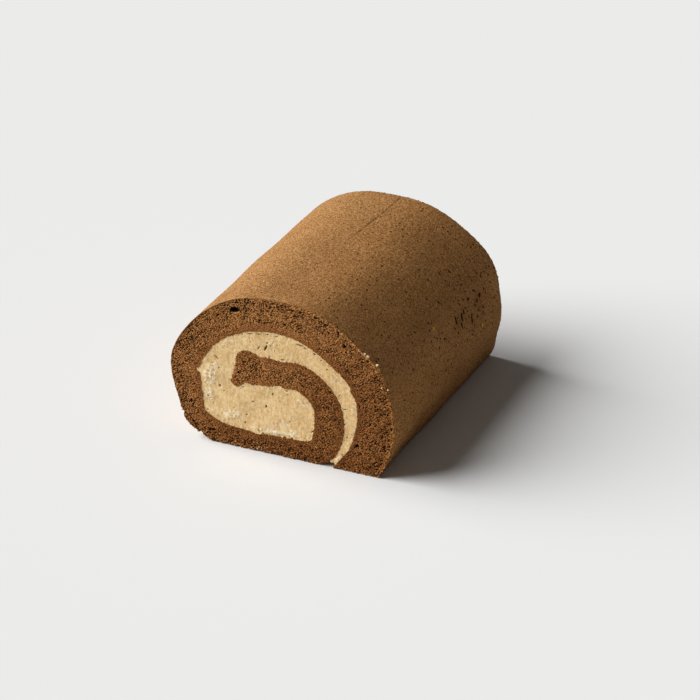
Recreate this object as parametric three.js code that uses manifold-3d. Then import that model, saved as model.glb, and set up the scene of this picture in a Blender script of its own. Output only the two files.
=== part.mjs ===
// A cut length of coffee sponge roll.  One sheet of sponge is rolled up with a thick layer of
// coffee cream, and both ends are cut clean across.  Millimetres, +Z up, the roll lies along Y,
// its front cut end faces -Y, and the origin is under the middle of the roll on its resting plane.
//
// The sheet starts as a short tongue in the middle of the roll, runs right, turns down, folds
// sharply under itself, runs left along the base, goes up the left side and over the top, and
// comes down the right side to its outer end, which stands on the base beside the fold.  The
// cream is one piece too: a pool under the tongue, round the tongue's end, over it as a strip,
// and down between the layers to a thin foot at the seam.

import * as THREE from 'three';
import { mergeVertices } from 'three/addons/utils/BufferGeometryUtils.js';
import Module from 'manifold-3d';

const ROLL_LENGTH = 110;
const HALF_WIDTH = 47;
const MID_HEIGHT = 30;
const CENTRE_X = 0.38;       // moves the section's own zero so that the origin is under the middle
const GAP = 0.3;             // kept between the cream and the sponge all round
const BACK_LOWER = 0.03;     // share of its height that the roll loses from front to back
const BACK_WIDER = 0.016;    // share of its width that it gains
const BACK_LEAN = 1.2;       // how far its right shoulder leans out at the back
const SKIN_WAVE = 0.35;      // height of the soft bumps along the skin
const SKIN_WAVE_ROUND = 40;  // their phase, in radians, from the sheet's inner end to its outer end
const SKIN_WAVE_LONG = 4;    // and over half the roll's length
const CRAG = 0.3;            // height of the crags on the two cut ends
const CRAG_PITCH = 0.9;      // their phase in radians for each millimetre
const CUT_OVERRUN = 2;       // how far a cutter stands past each end
const SIDEWAYS = 0.4;        // a unit normal with this much in x and z belongs to a long side
const DEPTH_STEPS = 9;
const SLANT_FADE = 4;        // how many stations of a route it takes for an end's slant to fade

// The sheet's route from its inner end to its outer end: x and z of the middle of the sheet, and
// its thickness there.  It is pressed thin along the base and stays thick at the right.
const SHEET_ROUTE = [
  [-19.8, 34.3, 12.0],
  [-17.9, 34.8, 14.6],
  [-15.0, 35.4, 14.9],
  [-9.5, 35.6, 12.9],
  [-1.5, 35.6, 11.9],
  [8.0, 35.7, 11.9],
  [15.0, 31.9, 11.5],
  [19.1, 26.0, 11.8],
  [20.0, 19.5, 12.3],
  [19.3, 12.6, 12.0],
  [16.9, 7.2, 11.2],
  [11.0, 4.3, 9.7],
  [-3.0, 4.0, 8.9],
  [-24.0, 4.2, 9.6],
  [-31.7, 6.5, 10.2],
  [-37.0, 10.4, 10.5],
  [-38.6, 16.4, 10.8],
  [-40.2, 24.0, 12.4],
  [-40.5, 33.5, 12.6],
  [-35.1, 44.0, 13.0],
  [-25.9, 53.0, 13.2],
  [-14.0, 58.8, 13.6],
  [0.0, 60.1, 13.1],
  [13.2, 57.4, 14.8],
  [25.0, 50.4, 15.2],
  [34.7, 40.8, 14.8],
  [38.5, 29.5, 14.4],
  [38.7, 18.5, 15.6],
  [35.8, 8.7, 14.9],
  [30.8, -0.6, 16.6],
];
const SHEET_STEPS = 84;
const SHEET_LAYERS = 4;
const INNER_SLANT = 3.0;     // how far the skin side is cut back at the tongue's end
const OUTER_SLANT = 3.6;     // and at the outer end, which stands level on the base

// The cream's route from the right end of its pool to its foot, as x, z and width.  It reaches
// into the sponge on both sides, and the sponge is then cut out of it.
const CREAM_ROUTE = [
  [15.0, 19.5, 26.0],
  [2.0, 18.8, 26.0],
  [-11.0, 18.8, 25.5],
  [-23.2, 21.0, 28.0],
  [-28.6, 31.0, 18.0],
  [-25.2, 42.0, 15.0],
  [-14.5, 47.6, 13.6],
  [-1.0, 48.2, 14.6],
  [11.2, 45.4, 11.6],
  [21.0, 38.8, 10.4],
  [27.4, 29.6, 9.0],
  [28.6, 19.0, 7.0],
  [26.9, 9.6, 6.4],
  [22.7, 2.7, 4.4],
];
const CREAM_STEPS = 48;
const CREAM_LAYERS = 4;

// The crack where the crust has torn loose low on the left of the front end, as x and z along it.
const CRACK_PATH = [
  [-40.9, 9.4],
  [-39.5, 8.8],
  [-38.3, 7.9],
  [-37.0, 6.1],
  [-36.4, 4.8],
  [-34.4, 0.6],
];
const CRACK_WIDTH = 0.9;
const CRACK_DEPTH = 7;

const wasm = await Module();
wasm.setup();

// Three waves that never fall in step: each one's rate along u and along v, and its start.
const WAVES = [
  [1.0, 1.3, 0.0],
  [1.9, -0.7, 2.1],
  [0.6, 2.3, 4.2],
];

// Uneven bumps between -1 and 1.
function bumps(u, v) {
  const heights = WAVES.map(([rateU, rateV, start]) => Math.sin(rateU * u + rateV * v + start));
  return heights.reduce((sum, height) => sum + height, 0) / WAVES.length;
}

// Bends a straight bar into a strip that follows a route of x, z and thickness.  The bar's length
// goes along the route, its height across the thickness, and its depth along the roll.
function strip(route, steps, layers, { slants = [0, 0], overrun = 0, skinWave = 0 } = {}) {
  const path = new THREE.CatmullRomCurve3(route.map((station) => new THREE.Vector3(...station)));
  const stations = route.length - 1;
  const fade = (away) => Math.max(0, 1 - away / SLANT_FADE);
  const geometry = new THREE.BoxGeometry(1, 2, 2, steps, layers, DEPTH_STEPS);
  const vertex = new THREE.Vector3();
  const points = geometry.attributes.position;
  for (let i = 0; i < points.count; i += 1) {
    vertex.fromBufferAttribute(points, i);
    const t = vertex.x + 0.5;
    const side = vertex.y;
    const depth = -vertex.z;
    const { x: midX, y: midZ, z: thickness } = path.getPoint(t);
    const run = path.getTangent(t);
    const scale = 1 / Math.hypot(run.x, run.y);
    const alongX = run.x * scale;
    const alongZ = run.y * scale;
    const skin = side === 1 ? skinWave * bumps(t * SKIN_WAVE_ROUND, depth * SKIN_WAVE_LONG) : 0;
    const out = side * thickness / 2 + skin;
    const along = side * (slants[0] * fade(t * stations) - slants[1] * fade((1 - t) * stations));
    const x = midX - alongZ * out + alongX * along;
    const z = midZ + alongX * out + alongZ * along;
    const crag = Math.abs(depth) === 1 ? CRAG * bumps(x * CRAG_PITCH, z * CRAG_PITCH + depth) : 0;
    const back = (depth + 1) / 2;
    const lean = BACK_LEAN * Math.max(x, 0) / HALF_WIDTH * (z / MID_HEIGHT - 1);
    points.setXYZ(
      i,
      CENTRE_X + x * (1 + BACK_WIDER * back) + lean * back,
      depth * (ROLL_LENGTH / 2 + overrun) + crag,
      z * (1 - BACK_LOWER * back),
    );
  }
  return geometry;
}

// Sets the lowest points of a strip flat on the base, as its own weight does.
function rest(geometry) {
  const points = geometry.attributes.position;
  for (let i = 0; i < points.count; i += 1) {
    points.setZ(i, Math.max(points.getZ(i), 0));
  }
  return geometry;
}

// The crack as a thin zigzag blade that enters the front end and stops at its depth.
function crackBlade() {
  const path = CRACK_PATH.map((point) => new THREE.Vector2(...point));
  const last = path.length - 1;
  const sides = [1, -1].map((side) => path.map((point, i) => {
    const before = path[Math.max(i - 1, 0)];
    const after = path[Math.min(i + 1, last)];
    const across = after.clone().sub(before).normalize().rotateAround(new THREE.Vector2(), Math.PI / 2);
    return point.clone().addScaledVector(across, side * CRACK_WIDTH / 2);
  }));
  const outline = new THREE.Shape([...sides[0], ...sides[1].reverse()]);
  const blade = new THREE.ExtrudeGeometry(outline, {
    depth: CRACK_DEPTH + CUT_OVERRUN,
    bevelEnabled: false,
  });
  // The outline's plane turns upright, and the blade then reaches back from the front end.
  blade.rotateX(Math.PI / 2);
  blade.translate(CENTRE_X, CRACK_DEPTH - ROLL_LENGTH / 2, 0);
  return blade;
}

function welded(geometry) {
  const bare = geometry.clone();
  bare.deleteAttribute('normal');
  bare.deleteAttribute('uv');
  return mergeVertices(bare);
}

// Moves the long sides of a piece outwards, and leaves its two cut ends in their planes.  On a
// vertex inside a cut end the normal runs along the roll, so hardly any of it points sideways.
function thicken(geometry, amount) {
  const thick = welded(geometry);
  thick.computeVertexNormals();
  const points = thick.attributes.position;
  const outward = new THREE.Vector3();
  for (let i = 0; i < points.count; i += 1) {
    outward.fromBufferAttribute(thick.attributes.normal, i).setY(0);
    if (outward.length() > SIDEWAYS) {
      outward.setLength(amount);
      points.setX(i, points.getX(i) + outward.x);
      points.setZ(i, points.getZ(i) + outward.z);
    }
  }
  return thick;
}

function toSolid(geometry) {
  const merged = welded(geometry);
  return new wasm.Manifold(new wasm.Mesh({
    numProp: 3,
    vertProperties: new Float32Array(merged.attributes.position.array),
    triVerts: new Uint32Array(merged.index.array),
  }));
}

function toMesh(solid, name, material) {
  const { vertProperties, triVerts } = solid.getMesh();
  const geometry = new THREE.BufferGeometry();
  geometry.setAttribute('position', new THREE.BufferAttribute(vertProperties, 3));
  geometry.setIndex(new THREE.BufferAttribute(triVerts, 1));
  geometry.computeVertexNormals();
  const mesh = new THREE.Mesh(geometry, material);
  mesh.name = name;
  return mesh;
}

const sheetForm = { slants: [INNER_SLANT, OUTER_SLANT], skinWave: SKIN_WAVE };
const sheet = rest(strip(SHEET_ROUTE, SHEET_STEPS, SHEET_LAYERS, sheetForm));
const sponge = toSolid(sheet).subtract(toSolid(crackBlade()));

const longSheet = strip(SHEET_ROUTE, SHEET_STEPS, SHEET_LAYERS, { ...sheetForm, overrun: CUT_OVERRUN });
const creamBlank = strip(CREAM_ROUTE, CREAM_STEPS, CREAM_LAYERS);
const cream = toSolid(creamBlank).subtract(toSolid(thicken(longSheet, GAP)));

const roll = new THREE.Group();
roll.add(toMesh(sponge, 'sponge', new THREE.MeshStandardMaterial({
  color: 0x7a5132,
  roughness: 0.9,
  metalness: 0,
})));
roll.add(toMesh(cream, 'cream', new THREE.MeshStandardMaterial({
  color: 0xdcbd8b,
  roughness: 0.6,
  metalness: 0,
})));

export default roll;
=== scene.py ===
"""A cut length of coffee sponge roll, filled with coffee cream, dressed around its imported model.

The section is drawn in millimetres: x to the right and z up, as the cut face is seen from the
front.  Depth runs along the roll from -1 at the front cut to 1 at the back cut.
"""
import math

import bpy
import numpy as np
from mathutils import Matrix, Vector
from mathutils.geometry import delaunay_2d_cdt


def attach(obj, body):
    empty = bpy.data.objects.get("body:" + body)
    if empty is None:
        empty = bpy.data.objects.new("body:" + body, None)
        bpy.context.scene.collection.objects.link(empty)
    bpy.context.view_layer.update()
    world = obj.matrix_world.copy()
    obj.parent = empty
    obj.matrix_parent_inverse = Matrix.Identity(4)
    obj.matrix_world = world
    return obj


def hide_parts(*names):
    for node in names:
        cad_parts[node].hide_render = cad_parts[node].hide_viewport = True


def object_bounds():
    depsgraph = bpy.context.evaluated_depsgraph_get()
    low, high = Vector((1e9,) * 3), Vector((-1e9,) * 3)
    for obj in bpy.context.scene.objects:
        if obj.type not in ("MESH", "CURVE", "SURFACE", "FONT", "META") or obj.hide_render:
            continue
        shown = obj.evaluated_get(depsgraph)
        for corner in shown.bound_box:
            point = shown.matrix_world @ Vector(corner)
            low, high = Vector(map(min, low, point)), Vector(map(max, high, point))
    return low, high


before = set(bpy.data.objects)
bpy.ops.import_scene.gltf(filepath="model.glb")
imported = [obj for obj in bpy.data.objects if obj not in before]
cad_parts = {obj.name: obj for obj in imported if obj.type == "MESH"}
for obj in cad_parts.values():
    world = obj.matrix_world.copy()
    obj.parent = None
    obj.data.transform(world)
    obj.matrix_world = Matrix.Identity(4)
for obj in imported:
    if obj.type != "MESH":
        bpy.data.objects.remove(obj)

cad_box = [list(corner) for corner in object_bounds()]
MM = 0.001


# ---- Camera ------------------------------------------------------------------------------------
# The camera looks down on the front cut end from its right, from a little over a metre away,
# through a long lens.

CAMERA_DOWN = 27.8       # degrees below level
CAMERA_ROUND = 24.1      # degrees to the right of straight in front


def put(name, data):
    """A new object in the scene."""
    thing = bpy.data.objects.new(name, data)
    bpy.context.scene.collection.objects.link(thing)
    return thing


camera_data = bpy.data.cameras.new("camera")
camera_data.sensor_width = 36
camera_data.lens = 154.3
camera_data.clip_end = 50
camera = put("camera", camera_data)
camera.location = (0.43334, -0.95868, 0.57457)
camera.rotation_euler = (math.radians(90 - CAMERA_DOWN), 0, math.radians(CAMERA_ROUND))
bpy.context.scene.camera = camera


# ---- Floor and lights --------------------------------------------------------------------------
# A pale matt floor, one wide soft light from the left and a little in front, and dim light from
# all round.

FLOOR_HALF = 6.0
FLOOR_CELLS = 12
FLOOR_COLOUR = (0.79, 0.80, 0.805)
FLOOR_SHADE = 0.985      # its faint clouds, as a share of its colour
KEY_FROM = (-0.76, -0.25, 0.60)
KEY_SOFTNESS = 52        # degrees across


class Wire:
    """One output of a node.  Sums written with it add the Math nodes that work them out."""

    def __init__(self, tree, socket):
        self.tree = tree
        self.socket = socket

    def other(self, name):
        return Wire(self.tree, self.socket.node.outputs[name])


for sign, way in (("add", "ADD"), ("sub", "SUBTRACT"), ("mul", "MULTIPLY"), ("truediv", "DIVIDE")):
    setattr(Wire, f"__{sign}__", lambda wire, value, way=way: wire.tree.maths(way, wire, value))
    setattr(Wire, f"__r{sign}__", lambda wire, value, way=way: wire.tree.maths(way, value, wire))


class Tree:
    """A node tree that is being written, for a finish or for a form."""

    def __init__(self, group):
        self.group = group

    def add(self, kind, inputs=(), output=0, **settings):
        node = self.group.nodes.new(kind)
        for name, value in settings.items():
            setattr(node, name, value)
        for name, value in dict(inputs).items():
            socket = node.inputs[name] if isinstance(name, int) else next(
                socket for socket in node.inputs if socket.enabled and socket.name == name)
            if isinstance(value, Wire):
                self.group.links.new(value.socket, socket)
            else:
                socket.default_value = value
        return None if output is None else Wire(self, node.outputs[output])

    def maths(self, operation, *values):
        return self.add("ShaderNodeMath", enumerate(values), operation=operation)

    def vectors(self, operation, *values, **named):
        return self.add("ShaderNodeVectorMath", {**dict(enumerate(values)), **named},
                        operation=operation)

    def axes(self, vector):
        """A vector's X; its Y and Z are the node's other outputs."""
        return self.add("ShaderNodeSeparateXYZ", {"Vector": vector})

    def step(self, value, low, high, start=0.0, end=1.0):
        """A soft step: start where the value is at low, end where it is at high."""
        return self.add("ShaderNodeMapRange", {
            "Value": value, "From Min": low, "From Max": high, "To Min": start, "To Max": end,
        }, interpolation_type="SMOOTHSTEP")

    def blend(self, share, colour_a, colour_b, way="MIX"):
        a, b = (part if isinstance(part, Wire) else (*part, 1) for part in (colour_a, colour_b))
        mix = self.add("ShaderNodeMix", {"Factor": share, "A": a, "B": b},
                       data_type="RGBA", blend_type=way)
        return Wire(self, next(socket for socket in mix.socket.node.outputs if socket.enabled))

    def paint(self, base, *coats):
        """Blends coats into a colour in turn; a coat is its share, its colour and maybe its way."""
        for share, colour, *way in coats:
            base = self.blend(share, base, colour, *way)
        return base

    def place(self):
        """Where each point is, in metres."""
        if self.group.bl_idname == "GeometryNodeTree":
            return self.add("GeometryNodeInputPosition")
        return self.add("ShaderNodeTexCoord", output="Object")

    def noise(self, at, size, detail=2.0, roughness=0.5):
        """Noise whose lumps are about size metres across."""
        return self.add("ShaderNodeTexNoise", {
            "Vector": at, "Scale": 1 / size, "Detail": detail, "Roughness": roughness})

    def noted(self, name, kind="FLOAT"):
        """A value that a piece's mesh carries, in a finish or in a form."""
        if self.group.bl_idname == "GeometryNodeTree":
            return self.add("GeometryNodeInputNamedAttribute", {"Name": name}, data_type=kind)
        return self.add("ShaderNodeAttribute", attribute_name=name,
                        output={"FLOAT": "Fac", "FLOAT_VECTOR": "Vector"}[kind])

    def spots(self, at, size, flat=True):
        """The nearest of many cells size metres apart: how far its middle is, and its own luck."""
        cells = self.add("ShaderNodeTexVoronoi", {"Vector": at, "Scale": 1 / size},
                         voronoi_dimensions="2D" if flat else "3D")
        luck = self.axes(cells.other("Color"))
        return cells, luck, luck.other("Y")

    def feed(self, colour, relief=None, distance=0.0, strength=1.0):
        """Links a finish's colour, and its relief as a bump of this distance, to its shader."""
        shader = self.group.nodes["Principled BSDF"]
        self.group.links.new(colour.socket, shader.inputs["Base Color"])
        if relief is not None:
            bump = self.add("ShaderNodeBump", {
                "Strength": strength, "Distance": distance, "Height": relief})
            self.group.links.new(bump.socket, shader.inputs["Normal"])


def new_finish(name, roughness, **constants):
    """A material with its shader's constants set, and the tree that the rest is written in."""
    material = bpy.data.materials.new(name)
    material.use_nodes = True
    shader = material.node_tree.nodes["Principled BSDF"]
    shader.inputs["Roughness"].default_value = roughness
    for socket, value in constants.items():
        shader.inputs[socket.replace("_", " ")].default_value = value
    return material, Tree(material.node_tree)


def read(rows, slot, kind, width=1):
    """An array of what Blender keeps in these rows."""
    values = np.empty(len(rows) * width, kind)
    rows.foreach_get(slot, values)
    return values.reshape(-1, width)


def new_mesh(name, points, faces, notes=None, sharp=()):
    """A mesh piece that carries notes, one number or vector for each point."""
    mesh = bpy.data.meshes.new(name)
    mesh.from_pydata(points.tolist(), [], [list(face) for part in faces for face in part.tolist()])
    for note, values in (notes or {}).items():
        kind, slot = ("FLOAT", "value") if values.ndim == 1 else ("FLOAT_VECTOR", "vector")
        mesh.attributes.new(note, kind, "POINT").data.foreach_set(
            slot, values.astype(np.float32).ravel())
    mesh.shade_smooth()
    if len(sharp):
        ends = read(mesh.edges, "vertices", np.int32, 2)
        crisp = np.zeros(len(ends), bool)
        for first, count in sharp:
            crisp |= ((ends >= first) & (ends < first + count)).all(1)
        mesh.attributes.new("sharp_edge", "BOOLEAN", "EDGE").data.foreach_set("value", crisp)
    return put(name, mesh)


def grid_faces(grid):
    """The faces of a grid of points, from the array of their numbers."""
    return np.dstack([grid[:-1, :-1], grid[:-1, 1:], grid[1:, 1:], grid[1:, :-1]]).reshape(-1, 4)


floor_finish, tree = new_finish("floor_matt", 0.9, Specular_IOR_Level=0.1)
tree.feed(tree.blend(tree.noise(tree.place(), 0.8), FLOOR_COLOUR,
                     tuple(FLOOR_SHADE * part for part in FLOOR_COLOUR)))

ticks = np.linspace(-FLOOR_HALF, FLOOR_HALF, FLOOR_CELLS + 1)
floor_points = np.array([(x, y, 0.0) for y in ticks for x in ticks])
floor = new_mesh("floor", floor_points, [
    grid_faces(np.arange(len(floor_points)).reshape(len(ticks), len(ticks)))])
floor.data.materials.append(floor_finish)

key_data = bpy.data.lights.new("soft_key", "SUN")
key_data.energy = 5.1
key_data.angle = math.radians(KEY_SOFTNESS)
key_data.color = (1.0, 0.995, 0.985)
key = put("soft_key", key_data)
key.rotation_euler = Vector(KEY_FROM).to_track_quat("Z", "Y").to_euler()

world = bpy.data.worlds.new("studio")
world.use_nodes = True
background = world.node_tree.nodes["Background"].inputs
background["Color"].default_value = (1.0, 0.94, 0.87, 1)
background["Strength"].default_value = 0.085
bpy.context.scene.world = world
bpy.context.scene.view_settings.view_transform = "Standard"


# ---- Sponge crumb ------------------------------------------------------------------------------
# One sheet of coffee sponge, about 13 mm thick, baked flat and rolled up round the cream, then cut
# across at both ends.  The knife opens its crumb: flattened pores of all sizes, close and damp
# beside the cream and wide open towards the crust, with a few big holes.

HALF_LENGTH = 55.0
HALF_WIDTH = 47.0
MID_HEIGHT = 30.0
CENTRE_X = 0.38
BACK_LOWER = 0.03
BACK_WIDER = 0.016
BACK_LEAN = 1.2
BACK_SAG = 2.4              # how far its foot on the right has sagged outwards at the back
BACK_SAG_AT = (41.0, 3.0)
BACK_SAG_WIDE = (8.0, 8.5)
# The sheet's middle from its inner end outwards: x, z and the sheet's thickness.
SHEET_ROUTE = np.array([
    (-19.8, 34.3, 12), (-17.9, 34.8, 14.6), (-15, 35.4, 14.9), (-9.5, 35.6, 12.9),
    (-1.5, 35.6, 11.9), (8, 35.7, 11.9), (15, 31.9, 11.5), (19.1, 26, 11.8), (20, 19.5, 12.3),
    (19.3, 12.6, 12), (16.9, 7.2, 11.2), (11, 4.3, 9.7), (-3, 4, 8.9), (-24, 4.2, 9.6),
    (-31.7, 6.5, 10.2), (-37, 10.4, 10.5), (-38.6, 16.4, 10.8), (-40.2, 24, 12.4),
    (-40.5, 33.5, 12.6), (-35.1, 44, 13), (-25.9, 53, 13.2), (-14, 58.8, 13.6), (0, 60.1, 13.1),
    (13.2, 57.4, 14.8), (25, 50.4, 15.2), (34.7, 40.8, 14.8), (38.5, 29.5, 14.4),
    (38.7, 18.5, 15.6), (35.8, 8.7, 14.9), (30.8, -0.6, 16.6),
])
STATIONS = len(SHEET_ROUTE) - 1
SKIN, FILLING = 1, -1       # the sheet's two sides
TIP, OUTER_END = 0.0, 1.0   # its two ends, as shares of the route
INNER_SLANT = 3.0
OUTER_SLANT = 3.6
SLANT_FADE = 4
FOLD = 9.9 / STATIONS       # from here on the skin side is the outside of the roll
SKIN_WAVE = 0.35            # the soft bumps along the skin
SKIN_WAVE_ROUND = 40
SKIN_WAVE_LONG = 4
WAVES = ((1.0, 1.3, 0.0), (1.9, -0.7, 2.1), (0.6, 2.3, 4.2))
UNDER_SKIN = 0.3            # how far the crumb's edge stands in under the skin at the cuts
WALL_UNDER_SKIN = 1.0       # and between them
RIM_PITCH = 0.28            # between neighbouring points of a cut face's edge
FRONT_PITCH = 0.28          # and of its inside
BACK_PITCH = 0.37
ROW_SHARE = 0.866           # a face's rows lie this much closer than its points
JITTER = 0.22
LOWEST = 0.02               # no edge of a cut face lies lower
TIP_ROUND = 1.0
END_POINTS = 54
TIP_POINTS = 44
FACE_SWELL = 0.12
RIM_SHOWS = 0.4             # how far the skin's edge stands out round the crumb at the upper left
RAGGED, TORN_RAGGED = 0.12, 0.3  # how far the crumb's edge wanders, and where it has torn
TORN_AT = (-40.0, 6.0)
TORN_AREA = 22.0
UNDERSIDE_BELOW = 1.2
UNDERSIDE = ((-31.5, 14.5), (23.6, 38.8))  # the stretches that have torn off the base, in x
LIFT, LIFT_WANDERS = 0.4, 0.35  # how far off, and how unevenly
PORE_TILT = 38              # the pores are flattened along this direction of the section
TOP_PORE_TILT = 6           # and along this one where the sheet lies level over the top
PORE_FLATNESS = 1.9
END_APART = 300             # sets the two ends' pores apart


def ramp(value, start, end):
    """0 up to start and 1 from end on."""
    return np.clip((value - start) / (end - start), 0, 1)


def near(points, middle, area):
    """1 at a middle, fading out round it."""
    x, z = (points - middle).T
    return np.exp(-(x ** 2 + z ** 2) / area)


def turned(x, z, tilt):
    """How far points lie along a tilted line and across it."""
    turn = math.radians(tilt)
    return x * math.cos(turn) + z * math.sin(turn), z * math.cos(turn) - x * math.sin(turn)


def sheet_middle(t):
    """The middle of the sheet at t, with its thickness, and the direction it runs in."""
    route = np.vstack([2 * SHEET_ROUTE[0] - SHEET_ROUTE[1], SHEET_ROUTE,
                       2 * SHEET_ROUTE[-1] - SHEET_ROUTE[-2]])
    at = np.clip(np.asarray(t, float) * STATIONS, 0, STATIONS - 1e-9)
    i = at.astype(int)
    w = (at - i)[:, None]
    p0, p1, p2, p3 = (route[i + k] for k in range(4))
    d0, d1, d2 = (np.sqrt(np.linalg.norm(b - a, axis=1))[:, None]
                  for a, b in ((p0, p1), (p1, p2), (p2, p3)))
    m1 = d1 * ((p1 - p0) / d0 - (p2 - p0) / (d0 + d1) + (p2 - p1) / d1)
    m2 = d1 * ((p2 - p1) / d1 - (p3 - p1) / (d1 + d2) + (p3 - p2) / d2)
    bend2 = 3 * (p2 - p1) - 2 * m1 - m2
    bend3 = 2 * (p1 - p2) + m1 + m2
    middle = p1 + w * (m1 + w * (bend2 + w * bend3))
    run = (m1 + w * (2 * bend2 + 3 * w * bend3))[:, :2]
    return middle, run / np.linalg.norm(run, axis=1)[:, None]


def sheet_side(side, t, inset=0.0):
    """Points on one side of the sheet's section, moved into the sheet by inset."""
    middle, run = sheet_middle(t)
    out = side * (middle[:, 2] / 2 - inset)
    slant = INNER_SLANT * np.maximum(0, 1 - t * STATIONS / SLANT_FADE) \
        - OUTER_SLANT * np.maximum(0, 1 - (1 - t) * STATIONS / SLANT_FADE)
    along = side * slant
    return np.stack([middle[:, 0] - run[:, 1] * out + run[:, 0] * along,
                     middle[:, 1] + run[:, 0] * out + run[:, 1] * along], 1)


def distances(line, pitch=1.0):
    """How far along a line each of its points lies, in pitches; a pitch may depend on the place."""
    steps = np.linalg.norm(np.diff(line, axis=0), axis=1)
    return np.concatenate([[0], np.cumsum(steps / (pitch(line[1:]) if callable(pitch) else pitch))])


def even_t(side, first, last, pitch):
    """Shares of the route whose points on one side lie a pitch apart."""
    fine = np.linspace(first, last, 2400)
    far = distances(sheet_side(side, fine), pitch)
    return np.interp(np.linspace(0, far[-1], int(round(far[-1])) + 1), far, fine)


def evenly(line, pitch):
    """The line again, with its points spread evenly about a pitch apart."""
    far = distances(line)
    marks = np.linspace(0, far[-1], max(2, int(round(far[-1] / pitch)) + 1))
    return np.stack([np.interp(marks, far, line[:, 0]), np.interp(marks, far, line[:, 1])], 1)


def skin_wave(t, depth):
    return SKIN_WAVE * sum(np.sin(u * t * SKIN_WAVE_ROUND + v * depth * SKIN_WAVE_LONG + start)
                           for u, v, start in WAVES) / len(WAVES)


def in_roll(section, depth, forward=0.0):
    """Where points of the section stand in the roll, in metres; forward is towards the front."""
    x, z = section.T
    back = (depth + 1) / 2
    lean = BACK_LEAN * np.maximum(x, 0) / HALF_WIDTH * (z / MID_HEIGHT - 1)
    sag = BACK_SAG * back ** 1.5 * np.exp(
        -((x - BACK_SAG_AT[0]) / BACK_SAG_WIDE[0]) ** 2
        - ((z - BACK_SAG_AT[1]) / BACK_SAG_WIDE[1]) ** 2)
    return MM * np.stack([
        CENTRE_X + x * (1 + BACK_WIDER * back) + lean * back + sag,
        depth * HALF_LENGTH - forward + np.zeros(len(x)),
        z * (1 - BACK_LOWER * back),
    ], 1)


def reach(points, line):
    """How far each point is from the nearest point of a line."""
    far = np.empty(len(points))
    for start in range(0, len(points), 4000):
        part = points[start:start + 4000, None]
        far[start:start + 4000] = np.sqrt(
            ((part[..., 0] - line[:, 0]) ** 2 + (part[..., 1] - line[:, 1]) ** 2).min(1))
    return far


def within(points, outline):
    """Which points lie inside a closed outline."""
    inside = np.zeros(len(points), bool)
    for start, end in zip(outline, np.roll(outline, -1, axis=0)):
        if start[1] != end[1]:
            crosses = (points[:, 1] < start[1]) != (points[:, 1] < end[1])
            side = (end[0] - start[0]) * (points[:, 1] - start[1]) / (end[1] - start[1]) + start[0]
            inside ^= crosses & (points[:, 0] < side)
    return inside


def soft_waves(seed, lengths):
    """A smooth uneven function of distance, between about -1 and 1, from waves of these lengths."""
    starts = np.random.default_rng(seed).uniform(0, 2 * math.pi, len(lengths))
    return lambda far: sum(np.sin(2 * math.pi * far / length + start)
                           for length, start in zip(lengths, starts)) / math.sqrt(len(lengths))


def soften(loop, share):
    """Rounds a loop's corners, in full where share is 1."""
    half = int(3 * TIP_ROUND / RIM_PITCH)
    shifts = range(-half, half + 1)
    weights = np.array([math.exp(-0.5 * (shift * RIM_PITCH / TIP_ROUND) ** 2) for shift in shifts])
    weights /= weights.sum()
    smooth = sum(weight * np.roll(loop, shift, axis=0) for weight, shift in zip(weights, shifts))
    return loop + (smooth - loop) * share[:, None]


def pushed(loop, pushes):
    """Moves stretches of a loop: each push is x, z, its move in x and z, and how wide it acts."""
    moved = loop.copy()
    for x, z, dx, dz, wide in pushes:
        moved += np.outer(near(loop, (x, z), 2 * (wide / 1.6) ** 2), (dx, dz))
    return moved


def beside(loop):
    """Unit vectors to the right of a closed loop's run."""
    run = np.roll(loop, -1, axis=0) - np.roll(loop, 1, axis=0)
    run /= np.maximum(np.linalg.norm(run, axis=1)[:, None], 1e-9)
    return np.stack([run[:, 1], -run[:, 0]], 1)


def rumple(loop, amount, seed, lengths):
    """Moves a closed loop's points sideways, unevenly."""
    far = RIM_PITCH * np.arange(len(loop))
    return loop + beside(loop) * (amount * soft_waves(seed, lengths)(far))[:, None]


skin_marks = even_t(SKIN, TIP, OUTER_END, RIM_PITCH)
filling_marks = even_t(FILLING, OUTER_END, TIP, RIM_PITCH)
filling_first = len(skin_marks) + END_POINTS - 2
past_fold = (skin_marks - FOLD) * STATIONS
tip_share = np.concatenate([
    ramp(skin_marks * STATIONS, 1.6, 0.6), np.zeros(END_POINTS - 2),
    ramp(filling_marks * STATIONS, 1.6, 0.6), np.ones(TIP_POINTS - 2)])
outside_share = np.zeros(len(tip_share))
outside_share[:len(skin_marks)] = np.clip(past_fold, 0, 1)


def sheet_loop(depth, under_skin, pushes=()):
    """The sheet's outline: along its skin to the outer end, and back along its filling."""
    inset = under_skin * np.clip(2 * past_fold, 0, 1)
    skin = sheet_side(SKIN, skin_marks,
                      inset - outside_share[:len(skin_marks)] * skin_wave(skin_marks, depth))
    filling = sheet_side(FILLING, filling_marks)
    skin[:, 1] = np.maximum(skin[:, 1], inset)
    outer_end = np.linspace(skin[-1], filling[0], END_POINTS)[1:-1]
    tip = np.linspace(filling[-1], skin[0], TIP_POINTS)[1:-1]
    loop = np.vstack([skin, outer_end, filling, tip])
    loop[:, 1] = np.maximum(loop[:, 1], LOWEST)
    return pushed(soften(loop, tip_share), pushes)


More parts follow.
